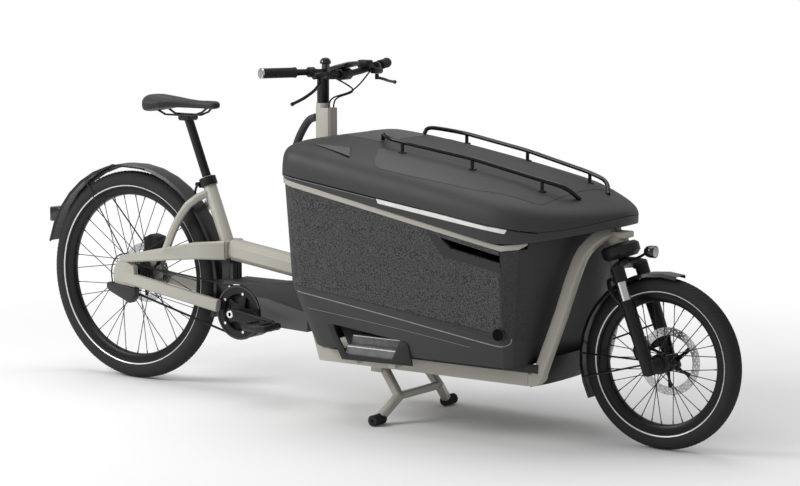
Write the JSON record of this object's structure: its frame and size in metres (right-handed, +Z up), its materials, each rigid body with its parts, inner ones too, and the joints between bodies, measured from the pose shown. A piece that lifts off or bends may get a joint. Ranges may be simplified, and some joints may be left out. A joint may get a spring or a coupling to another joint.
{
  "type": "electric cargo bike",
  "caption": "Long-wheelbase electric cargo bike with a lidded front box, linkage-steered suspension fork, mid motor with belt drive, two-legged stand and disc brakes.",
  "frame": {"origin": "on the ground under the middle of the bike", "axes": "+X forwards, +Y to the rider's left, +Z up"},
  "size_m": [2.669, 0.6886, 1.1231],
  "materials": {
    "battery": "moulded",
    "battery_cover": "moulded",
    "bell": "gloss paint",
    "box_collar": "grained moulding",
    "box_tub": "grained moulding",
    "brake_hoses": "moulded",
    "brake_lever_left": "black anodised",
    "brake_lever_right": "black anodised",
    "clamp_lever": "black anodised",
    "crankset": "black anodised",
    "display": "polished",
    "drive_belt": "moulded",
    "drive_pulley": "black anodised",
    "floor_frame": "satin paint",
    "fork_crown": "black anodised",
    "fork_lowers": "black anodised",
    "front_caliper": "black anodised",
    "front_fender": "moulded",
    "front_hoop": "satin paint",
    "front_hub": "black anodised",
    "front_rim": "black anodised",
    "front_rotor": "ground",
    "front_tyre": "moulded",
    "grip_left": "moulded",
    "grip_right": "moulded",
    "handlebar": "black anodised",
    "headlight": "polished",
    "lid": "grained moulding",
    "lid_rail_left": "gloss paint",
    "lid_rail_right": "gloss paint",
    "lifting_handle": "moulded",
    "lower_body": "grained moulding",
    "main_beam": "satin paint",
    "motor": "moulded",
    "pedal_left": "moulded",
    "pedal_right": "moulded",
    "rear_caliper": "black anodised",
    "rear_fender": "moulded",
    "rear_frame": "satin paint",
    "rear_hub": "black anodised",
    "rear_rim": "black anodised",
    "rear_rotor": "ground",
    "rear_sprocket": "black anodised",
    "rear_tyre": "moulded",
    "saddle": "smooth cover",
    "seat_clamp": "black anodised",
    "seat_post": "black anodised",
    "shift_box": "moulded",
    "side_panel_left": "textured panel",
    "side_panel_right": "textured panel",
    "stand": "satin paint",
    "stand_foot_left": "moulded",
    "stand_foot_right": "moulded",
    "steering_column": "satin paint",
    "steering_housing": "moulded",
    "stem": "black anodised",
    "step_tread_left": "anodised",
    "step_tread_right": "anodised",
    "tail_light": "polished",
    "upper_rail": "satin paint"
  },
  "bodies": {
    "frame": {"rear_frame": "rear_frame", "main_beam": "main_beam", "steering_column": "steering_column", "lifting_handle": "lifting_handle", "floor_frame": "floor_frame", "front_hoop": "front_hoop", "steering_housing": "steering_housing", "motor": "motor", "battery_cover": "battery_cover", "battery": "battery", "drive_belt": "drive_belt", "shift_box": "shift_box", "rear_fender": "rear_fender", "tail_light": "tail_light", "rear_caliper": "rear_caliper", "seat_clamp": "seat_clamp", "step_tread_left": "step_tread_left", "step_tread_right": "step_tread_right", "box_tub": "box_tub", "box_collar": "box_collar", "upper_rail": "upper_rail", "side_panel_left": "side_panel_left", "side_panel_right": "side_panel_right", "lower_body": "lower_body"},
    "rear_wheel": {"rear_tyre": "rear_tyre", "rear_rim": "rear_rim", "rear_hub": "rear_hub", "rear_rotor": "rear_rotor"},
    "rear_drive": {"rear_sprocket": "rear_sprocket"},
    "crank": {"crankset": "crankset", "drive_pulley": "drive_pulley"},
    "pedal_right_body": {"pedal_right": "pedal_right"},
    "pedal_left_body": {"pedal_left": "pedal_left"},
    "saddle_post": {"seat_post": "seat_post", "saddle": "saddle"},
    "seat_lever": {"clamp_lever": "clamp_lever"},
    "fork_upper": {"fork_crown": "fork_crown", "headlight": "headlight"},
    "fork_lower": {"fork_lowers": "fork_lowers", "front_fender": "front_fender", "front_caliper": "front_caliper"},
    "front_wheel": {"front_tyre": "front_tyre", "front_rim": "front_rim", "front_hub": "front_hub", "front_rotor": "front_rotor"},
    "steering": {"stem": "stem", "handlebar": "handlebar", "grip_left": "grip_left", "grip_right": "grip_right", "display": "display", "bell": "bell", "brake_hoses": "brake_hoses"},
    "lever_right": {"brake_lever_right": "brake_lever_right"},
    "lever_left": {"brake_lever_left": "brake_lever_left"},
    "kickstand": {"stand": "stand", "stand_foot_left": "stand_foot_left", "stand_foot_right": "stand_foot_right"},
    "lid_body": {"lid": "lid", "lid_rail_left": "lid_rail_left", "lid_rail_right": "lid_rail_right"}
  },
  "joints": [
    {"name": "rear_wheel_spin", "type": "hinge", "parent": "frame", "child": "rear_wheel", "pos_m": [-0.9625, 0, 0.354], "axis": [0, 1, 0], "continuous": true},
    {"name": "sprocket_spin", "type": "hinge", "parent": "frame", "child": "rear_drive", "pos_m": [-0.9625, 0, 0.354], "axis": [0, 1, 0], "continuous": true},
    {"name": "crank_spin", "type": "hinge", "parent": "frame", "child": "crank", "pos_m": [-0.4745, 0, 0.274], "axis": [0, 1, 0], "continuous": true},
    {"name": "pedal_right_spin", "type": "hinge", "parent": "crank", "child": "pedal_right_body", "pos_m": [-0.30543, -0.148, 0.25623], "axis": [0, 1, 0], "continuous": true},
    {"name": "pedal_left_spin", "type": "hinge", "parent": "crank", "child": "pedal_left_body", "pos_m": [-0.64357, 0.148, 0.29177], "axis": [0, 1, 0], "continuous": true},
    {"name": "saddle_slide", "type": "slide", "parent": "frame", "child": "saddle_post", "axis": [-0.373, 0, 0.9278], "range_m": [-0.05, 0.06]},
    {"name": "clamp_lever_turn", "type": "hinge", "parent": "frame", "child": "seat_lever", "pos_m": [-0.6754, -0.015, 0.68], "axis": [0, 1, 0], "range_deg": [0, 120]},
    {"name": "fork_turn", "type": "hinge", "parent": "frame", "child": "fork_upper", "pos_m": [1.05113, 0, 0.24877], "axis": [-0.342, 0, 0.9397], "range_deg": [-50, 50]},
    {"name": "fork_slide", "type": "slide", "parent": "fork_upper", "child": "fork_lower", "axis": [-0.342, 0, 0.9397], "range_m": [0, 0.032], "stiffness_N_per_m": 9000, "springref_m": -0.03},
    {"name": "front_wheel_spin", "type": "hinge", "parent": "fork_lower", "child": "front_wheel", "pos_m": [1.0765, 0, 0.258], "axis": [0, 1, 0], "continuous": true},
    {"name": "steering_turn", "type": "hinge", "parent": "frame", "child": "steering", "pos_m": [-0.1675, 0, 0.957], "axis": [0, 0, 1], "range_deg": [-50, 50]},
    {"name": "brake_lever_right_pull", "type": "hinge", "parent": "steering", "child": "lever_right", "pos_m": [-0.0655, -0.152, 1.05], "axis": [0, 0, -1], "range_deg": [0, 22], "stiffness_Nm_per_rad": 0.5, "springref_deg": -17.19},
    {"name": "brake_lever_left_pull", "type": "hinge", "parent": "steering", "child": "lever_left", "pos_m": [-0.0655, 0.152, 1.05], "axis": [0, 0, 1], "range_deg": [0, 22], "stiffness_Nm_per_rad": 0.5, "springref_deg": -17.19},
    {"name": "kickstand_fold", "type": "hinge", "parent": "frame", "child": "kickstand", "pos_m": [0.1375, 0, 0.168], "axis": [0, 1, 0], "range_deg": [0, 95]},
    {"name": "lid_open", "type": "hinge", "parent": "frame", "child": "lid_body", "pos_m": [0.9775, 0, 0.53], "axis": [0, 1, 0], "range_deg": [0, 55]}
  ],
  "couplings": [
    {"joint": "sprocket_spin", "follows": "crank_spin", "ratio": 1.9167},
    {"joint": "steering_turn", "follows": "fork_turn", "ratio": 1}
  ]
}
